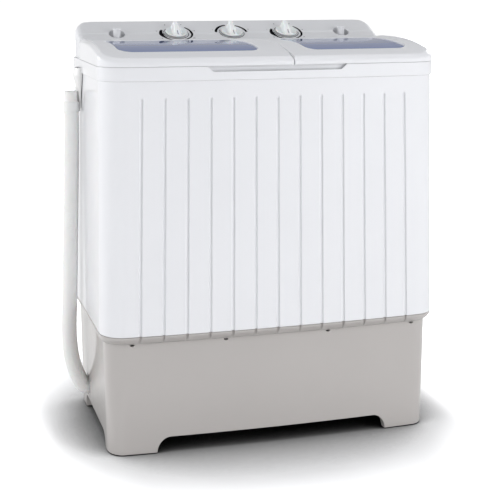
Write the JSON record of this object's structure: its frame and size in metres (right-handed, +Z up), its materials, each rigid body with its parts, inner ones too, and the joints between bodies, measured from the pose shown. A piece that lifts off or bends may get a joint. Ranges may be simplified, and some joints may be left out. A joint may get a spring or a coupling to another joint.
{
  "type": "twin tub washer",
  "caption": "Compact upright twin tub washing machine with a pulsator wash tub, a spin dryer, hinged top lids, a sloping knob panel and a clip-on drain hose.",
  "frame": {"origin": "middle of the bounding box, on the floor", "axes": "+Z up, +X to the right seen from the front, +Y to the back"},
  "size_m": [0.6144, 0.3632, 0.6784],
  "materials": {
    "white_gloss": "glossy injection-moulded white plastic",
    "base_grey": "glossy warm grey plastic",
    "panel_grey": "satin light grey plastic",
    "window_blue": "translucent blue-grey acrylic",
    "knob_white": "translucent white plastic",
    "tub_white": "white polypropylene",
    "pulsator_blue": "blue polypropylene",
    "hose_cream": "satin cream corrugated plastic",
    "black_rubber": "matte black rubber",
    "dark_plastic": "dark grey plastic",
    "steel": "zinc-plated steel",
    "motor_grey": "grey-painted die-cast motor shell",
    "aluminium": "plain aluminium can"
  },
  "bodies": {
    "root": {"base": "base_grey", "brake_arm_post": "steel", "cabinet": "white_gloss", "capacitor": "aluminium", "control_panel": "panel_grey", "drain_outlet": "black_rubber", "drain_selector_body": "dark_plastic", "drain_valve_body": "dark_plastic", "drive_belt": "black_rubber", "foot_pad_1": "black_rubber", "foot_pad_2": "black_rubber", "foot_pad_3": "black_rubber", "foot_pad_4": "black_rubber", "hose_hanger": "hose_cream", "lid_switch": "dark_plastic", "lint_filter": "tub_white", "power_cord": "black_rubber", "pulsator_bearing_housing": "dark_plastic", "pulsator_seal": "black_rubber", "rear_cover": "panel_grey", "spin_bellows": "black_rubber", "spin_lid_pin_1": "steel", "spin_lid_pin_2": "steel", "spin_motor": "motor_grey", "spin_motor_plate": "steel", "spin_motor_spring_1": "steel", "spin_motor_spring_2": "steel", "spin_motor_spring_3": "steel", "spin_timer_body": "dark_plastic", "spin_tub": "tub_white", "top_frame": "white_gloss", "wash_lid_pin_1": "steel", "wash_lid_pin_2": "steel", "wash_motor": "motor_grey", "wash_motor_bracket": "steel", "wash_timer_body": "dark_plastic", "wash_tub": "tub_white", "water_inlet_left": "white_gloss", "water_inlet_right": "white_gloss"},
    "wash_lid_body": {"wash_lid": "white_gloss", "wash_lid_window": "window_blue"},
    "spin_lid_body": {"spin_lid": "white_gloss", "spin_lid_window": "window_blue"},
    "pulsator_body": {"pulsator": "pulsator_blue", "pulsator_shaft": "steel", "wash_pulley": "dark_plastic"},
    "wash_motor_pulley_body": {"wash_motor_pulley": "steel"},
    "spin_basket_body": {"spin_basket": "tub_white", "spin_press_disc": "pulsator_blue", "spin_shaft": "steel", "brake_drum": "steel"},
    "brake_arm_body": {"brake_arm": "steel"},
    "drain_plunger_body": {"drain_valve_plunger": "white_gloss"},
    "drain_hose_body": {"drain_hose": "hose_cream"},
    "wash_timer_dial": {"wash_timer_knob": "knob_white", "wash_timer_shaft": "steel"},
    "drain_selector_dial": {"drain_selector_knob": "knob_white", "drain_selector_shaft": "steel"},
    "spin_timer_dial": {"spin_timer_knob": "knob_white", "spin_timer_shaft": "steel"}
  },
  "joints": [
    {"name": "wash_lid_hinge", "type": "hinge", "parent": "root", "child": "wash_lid_body", "pos_m": [-0.1163, 0.07215, 0.645], "axis": [-1, 0, 0], "range_deg": [0, 100]},
    {"name": "spin_lid_hinge", "type": "hinge", "parent": "root", "child": "spin_lid_body", "pos_m": [0.1737, 0.07215, 0.645], "axis": [-1, 0, 0], "range_deg": [0, 100]},
    {"name": "wash_timer_turn", "type": "hinge", "parent": "root", "child": "wash_timer_dial", "pos_m": [-0.0933, 0.11065, 0.65789], "axis": [0, 0.4226, -0.9063], "range_deg": [0, 300]},
    {"name": "drain_selector_turn", "type": "hinge", "parent": "root", "child": "drain_selector_dial", "pos_m": [0.0137, 0.11065, 0.65789], "axis": [0, 0.4226, -0.9063], "range_deg": [0, 90]},
    {"name": "spin_timer_turn", "type": "hinge", "parent": "root", "child": "spin_timer_dial", "pos_m": [0.1207, 0.11065, 0.65789], "axis": [0, 0.4226, -0.9063], "range_deg": [0, 300]},
    {"name": "drain_plunger_lift", "type": "slide", "parent": "root", "child": "drain_plunger_body", "axis": [0, 0, 1], "range_m": [0, 0.0102]},
    {"name": "pulsator_spin", "type": "hinge", "parent": "root", "child": "pulsator_body", "pos_m": [-0.1163, -0.04535, 0.24], "axis": [0, 0, 1], "continuous": true},
    {"name": "wash_motor_spin", "type": "hinge", "parent": "root", "child": "wash_motor_pulley_body", "pos_m": [-0.0123, 0.03365, 0.128], "axis": [0, 0, 1], "continuous": true},
    {"name": "spin_basket_spin", "type": "hinge", "parent": "root", "child": "spin_basket_body", "pos_m": [0.1697, -0.04735, 0.262], "axis": [0, 0, 1], "continuous": true},
    {"name": "brake_arm_swing", "type": "hinge", "parent": "root", "child": "brake_arm_body", "pos_m": [0.2217, -0.10935, 0.17], "axis": [0, 0, -1], "range_deg": [0, 6]},
    {"name": "drain_hose_swing", "type": "hinge", "parent": "root", "child": "drain_hose_body", "pos_m": [-0.2653, 0.06365, 0.049], "axis": [0, -1, 0], "range_deg": [0, 88]}
  ],
  "couplings": [
    {"joint": "drain_plunger_lift", "follows": "drain_selector_turn", "m_per_rad": 0.0064},
    {"joint": "wash_motor_spin", "follows": "pulsator_spin", "ratio": 4},
    {"joint": "brake_arm_swing", "follows": "spin_lid_hinge", "ratio": 0.058}
  ]
}
